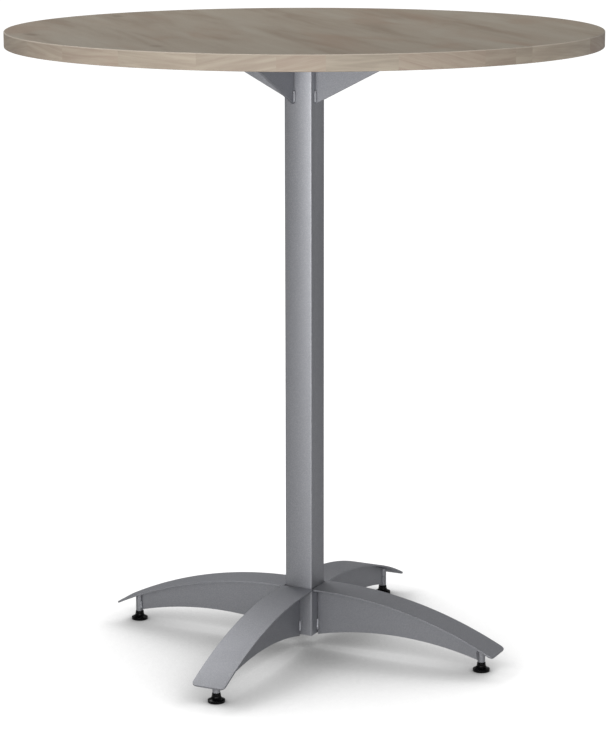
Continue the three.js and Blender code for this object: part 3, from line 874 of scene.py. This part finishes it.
foot_plastic, tree, shader, place = new_finish("foot_plastic", Specular_IOR_Level=0.12)
height = add_node(tree, "SeparateXYZ", None, Vector=place).outputs[2]
speck = noise(tree, place, scale=900.0, detail=3.0)
dust = math_node(tree, "MULTIPLY", spread(tree, height, DUST_HEIGHT, 0.0), spread(tree, speck, 0.45, 0.65))
tree.links.new(blend_in(tree, FOOT_BLACK, FOOT_DUST, dust, most=0.12), shader.inputs["Base Color"])
rough = math_node(tree, "MULTIPLY_ADD", dust, DUST_ROUGHNESS, FOOT_ROUGHNESS)
add_handling(tree, shader, place, rough, size=0.01, depth=0.2)
lay_bump(tree, shader, speck, strength=0.08, distance=0.1 * MM)
print("foot finish:", len(tree.nodes), "nodes")

# %% [markdown]
# ## Feet
#
# Each foot is a bell: a disc with an upright side, a hollow flare and a neck a little wider than the
# sleeve, with a socket for the stud. The flare is a quadratic curve, drawn from the disc to the neck by
# a corner point.

# %% Feet
FOOT_RIM = 4.4 * MM
FOOT_EDGE = 0.5 * MM
FOOT_FLARE = 7.0 * MM
FOOT_FLOOR = 3.5 * MM
FOOT_SEGMENTS = 64
FLARE_POINTS = 16
NECK_RADIUS = 7.65 * MM
NECK_START = 11.0 * MM
NECK_TOP = 7.1 * MM
NECK_EDGE = 0.6 * MM
foot_low, foot_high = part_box("glide_foot_right")
FOOT_RADIUS = (foot_high.y - foot_low.y) / 2


def quadratic(start, corner, end, t):
    """Curve from a start to an end, drawn by a corner: the start times (1 - t) squared, plus the corner
    times 2 t (1 - t), plus the end times t squared."""
    start, corner, end = np.array(start), np.array(corner), np.array(end)
    return (start * (1 - t) ** 2 + corner * 2 * t * (1 - t) + end * t ** 2).tolist()


def foot_profile():
    """Base, side with two small rounds, flare, neck and socket, as radius and height."""
    side = FOOT_RADIUS - FOOT_EDGE
    flare = quadratic((side, FOOT_RIM), (NECK_RADIUS, FOOT_FLARE), (NECK_RADIUS, NECK_START),
                      np.linspace(0, 1, FLARE_POINTS)[1:, None])
    return (rounded((side, FOOT_EDGE), FOOT_EDGE, -90, 0)
            + rounded((side, FOOT_RIM - FOOT_EDGE), FOOT_EDGE, 0, 90) + flare
            + rounded((NECK_TOP - NECK_EDGE, foot_high.z - NECK_EDGE), NECK_EDGE, 0, 90, points=4)
            + [(BORE_RADIUS, foot_high.z), (BORE_RADIUS, FOOT_FLOOR)])


foot = lathe(foot_profile(), FOOT_SEGMENTS, (GLIDE_REACH, 0))
for side in SIDES:
    piece = make_piece(f"foot_{side}", [turn_to(side, foot)], foot_plastic)
    fit(piece, f"foot_{side}", "foot_plastic", f"glide_foot_{side}")

# %% [markdown]
# ## Wood screws
#
# Eight pan-head screws hold the plate to the board from below. Their six-lobed driving recess is a
# circle whose radius rises and falls six times in a turn. The same angle columns serve the recess, the
# head and the shank.

# %% Wood screws
SCREWS = 8
SCREW_SEGMENTS = 48
RECESS_LOBES = 6
RECESS_RADIUS = 2.2 * MM
RECESS_LOBE = 0.35 * MM
RECESS_DEPTH = 1.8 * MM
RECESS_EDGE = 0.1 * MM
RECESS_ROWS = 3
RECESS_TAPER = 0.8
SCREW_POINT = 6 * MM
SCREW_SHANK = 2.5 * MM
SCREW_TIP = 0.3 * MM
HEAD_HEIGHT = 3.4 * MM
HEAD_FLAT = 0.55
CROWN_POINTS = 8


def screw_grid(low, high):
    """Rows of radius and height from the recess floor, over its mouth, round the head, up the shank to
    the point. In the recess the radius has a lobe times the cosine of six times the angle added."""
    head, seat = (high.x - low.x) / 2, low.z + HEAD_HEIGHT
    crown = quadratic((head * HEAD_FLAT, low.z), (head, low.z), (head, seat),
                      np.linspace(0, 1, CROWN_POINTS)[:, None])
    profile = np.array([(RECESS_RADIUS * RECESS_TAPER, low.z + RECESS_DEPTH),
                        (RECESS_RADIUS, low.z + RECESS_EDGE),
                        (RECESS_RADIUS + RECESS_EDGE, low.z), *crown, (SCREW_SHANK, seat),
                        (SCREW_SHANK, high.z - SCREW_POINT), (SCREW_TIP, high.z)])
    angle = np.linspace(0, 2 * np.pi, SCREW_SEGMENTS, endpoint=False)
    in_recess = (np.arange(len(profile)) < RECESS_ROWS)[:, None]
    radius = profile[:, :1] + in_recess * RECESS_LOBE * np.cos(RECESS_LOBES * angle)
    middle = (low + high) / 2
    return np.stack([middle.x + radius * np.cos(angle), middle.y + radius * np.sin(angle),
                     profile[:, 1:] + 0 * angle], -1)


for number in range(1, SCREWS + 1):
    piece = make_piece(f"screw_{number}", [screw_grid(*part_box(f"wood_screw_{number}"))], zinc)
    fit(piece, "table", "zinc", f"wood_screw_{number}")

# %% [markdown]
# ## What stays as it is
#
# The plate under the top, the backing sheet, the board between the sheets and the tube's plug are flat
# and square, so their solids are right as they are, and only get finishes. The backing sheet is a pale
# grey laminate, the board is pressed from wood chips, and the plug is a matt black moulding.

# %% Backing sheet, board and plug
BACKING_GREY, BACKING_PALE = colour(192, 189, 184), colour(206, 203, 198)
BACKING_ROUGHNESS = 0.62
CHIP_DARK, CHIP_PALE = colour(150, 126, 92), colour(190, 165, 128)
CHIP_ROUGHNESS = 0.9
PLUG_BLACK, PLUG_GREY = colour(20, 20, 21), colour(34, 34, 35)
PLUG_ROUGHNESS, PLUG_ROUGHER = 0.4, 0.2

backing, tree, shader, place = new_finish("backer")
mottle = spread(tree, noise(tree, place, scale=40.0, detail=5.0, roughness=0.65), 0.3, 0.7)
tree.links.new(mix_colours(tree, mottle, BACKING_GREY, BACKING_PALE), shader.inputs["Base Color"])
add_handling(tree, shader, place, BACKING_ROUGHNESS, size=0.2, depth=0.2)
lay_bump(tree, shader, noise(tree, place, scale=900.0), strength=0.1, distance=0.2 * MM)

chipboard, tree, shader, place = new_finish("core_board", Roughness=CHIP_ROUGHNESS)
chips = add_node(tree, "TexVoronoi", None, Vector=place, Scale=320.0).outputs["Color"]
shade = add_node(tree, "SeparateColor", None, Color=chips).outputs[0]
tree.links.new(mix_colours(tree, shade, CHIP_DARK, CHIP_PALE), shader.inputs["Base Color"])

plug_plastic, tree, shader, place = new_finish("black_plastic")
moulding = noise(tree, place, scale=700.0, detail=3.0)
tree.links.new(mix_colours(tree, moulding, PLUG_BLACK, PLUG_GREY), shader.inputs["Base Color"])
tree.links.new(math_node(tree, "MULTIPLY_ADD", moulding, PLUG_ROUGHER, PLUG_ROUGHNESS),
               shader.inputs["Roughness"])

kept = {"mounting_plate": silver_paint, "backer_sheet": backing, "top_core": chipboard,
        "column_plug": plug_plastic}
for node, finish in kept.items():
    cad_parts[node].data.materials.clear()
    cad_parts[node].data.materials.append(finish)
print("kept solids:", ", ".join(kept))

# %% [markdown]
# ## The studio
#
# The table stands on a wide white floor, which throws light up at the steel like any pale ground. To the
# camera alone it also glows, so that it fades into a white room. An Ambient Occlusion node tells how
# much of the sky over each spot is open, and dims the floor under the table. That is the soft shadow,
# and the lamps add theirs to it.

# %% Floor
FLOOR_RADIUS = 40.0
FLOOR_SEGMENTS = 96
FLOOR_TONE = 0.8
SHOWN_TONE = 0.3
FLOOR_GLOW = 1.0
SHADE_REACH = 1.6
SHADE_DEPTH = 1.6
SHADE_SAMPLES = 24
OPEN_SKY = 0.88

floor_points = lathe([(FLOOR_RADIUS, 0)], FLOOR_SEGMENTS)[0]
floor_mesh = bpy.data.meshes.new("floor")
floor_mesh.from_pydata(floor_points.tolist(), [], [list(range(FLOOR_SEGMENTS))])
floor = bpy.data.objects.new("floor", floor_mesh)
bpy.context.scene.collection.objects.link(floor)

floor_paint = bpy.data.materials.new("floor_white")
floor_paint.use_nodes = True
tree = floor_paint.node_tree
tree.nodes.remove(tree.nodes["Principled BSDF"])
sky = add_node(tree, "AmbientOcclusion", {"samples": SHADE_SAMPLES}, Distance=SHADE_REACH).outputs["AO"]
sky = math_node(tree, "MINIMUM", math_node(tree, "DIVIDE", sky, OPEN_SKY), 1.0)
shade = math_node(tree, "POWER", sky, SHADE_DEPTH)
shaded = math_node(tree, "MULTIPLY", shade, SHOWN_TONE)
pale = add_node(tree, "CombineColor", None, _0=shaded, _1=shaded, _2=shaded).outputs[0]
matt = add_node(tree, "BsdfDiffuse", None, Color=pale).outputs[0]
glow = add_node(tree, "Emission", None, Strength=math_node(tree, "MULTIPLY", shade, FLOOR_GLOW)).outputs[0]
shown = add_node(tree, "AddShader", None, _0=matt, _1=glow).outputs[0]
plain = add_node(tree, "BsdfDiffuse", None, Color=(FLOOR_TONE, FLOOR_TONE, FLOOR_TONE, 1)).outputs[0]
to_camera = add_node(tree, "LightPath").outputs["Is Camera Ray"]
both = add_node(tree, "MixShader", None, _0=to_camera, _1=plain, _2=shown).outputs[0]
tree.links.new(both, tree.nodes["Material Output"].inputs["Surface"])
floor_mesh.materials.append(floor_paint)
print("floor radius:", FLOOR_RADIUS)

# %% [markdown]
# ## Light
#
# A soft lamp in front lights the rim and the column's front face, and a low one on the right fills the
# faces that look that way. A weak lamp on the far right is mirrored in them. Two large lamps hang high
# behind the table, for the top and the arms. The room adds a little even light from all around, and the
# camera sees it as plain white.

# %% Room and lamps
ROOM_LIGHT = 0.30
LAMPS = {"front_lamp": {"power": 39.5, "size": (1.6, 0.9), "place": (0.47, -2.66, 0.95), "aim": (0, 0, 0.75)},
         "low_lamp": {"power": 15.0, "size": (1.6, 0.8), "place": (1.84, -1.54, 0.60), "aim": (0, 0, 0.60)},
         "side_lamp": {"power": 1.4, "size": (0.9, 0.6), "place": (1.05, 1.82, 0.85), "aim": (0, 0, 0.95)},
         "high_lamp": {"power": 95.0, "size": (2.4, 2.4), "place": (-2.73, 1.58, 4.50), "aim": (0, 0, 0.30)},
         "back_lamp": {"power": 22.5, "size": (2.4, 2.4), "place": (0.60, 2.60, 4.20), "aim": (0, 0, 0.30)}}

room = bpy.data.worlds.new("room")
bpy.context.scene.world = room
room.use_nodes = True
background = room.node_tree.nodes["Background"]
background.inputs["Color"].default_value = (1, 1, 1, 1)
to_camera = add_node(room.node_tree, "LightPath").outputs["Is Camera Ray"]
strength = math_node(room.node_tree, "MAXIMUM", to_camera, ROOM_LIGHT)
room.node_tree.links.new(strength, background.inputs["Strength"])

for name, given in LAMPS.items():
    lamp = bpy.data.objects.new(name, bpy.data.lights.new(name, "AREA"))
    lamp.data.energy = given["power"]
    lamp.data.shape = "RECTANGLE"
    lamp.data.size, lamp.data.size_y = given["size"]
    lamp.visible_camera = False
    lamp.location = given["place"]
    lamp.rotation_euler = (Vector(given["aim"]) - lamp.location).to_track_quat("-Z", "Y").to_euler()
    bpy.context.scene.collection.objects.link(lamp)
    print(name, "at", given["place"])
bpy.context.scene.view_settings.view_transform = "Standard"
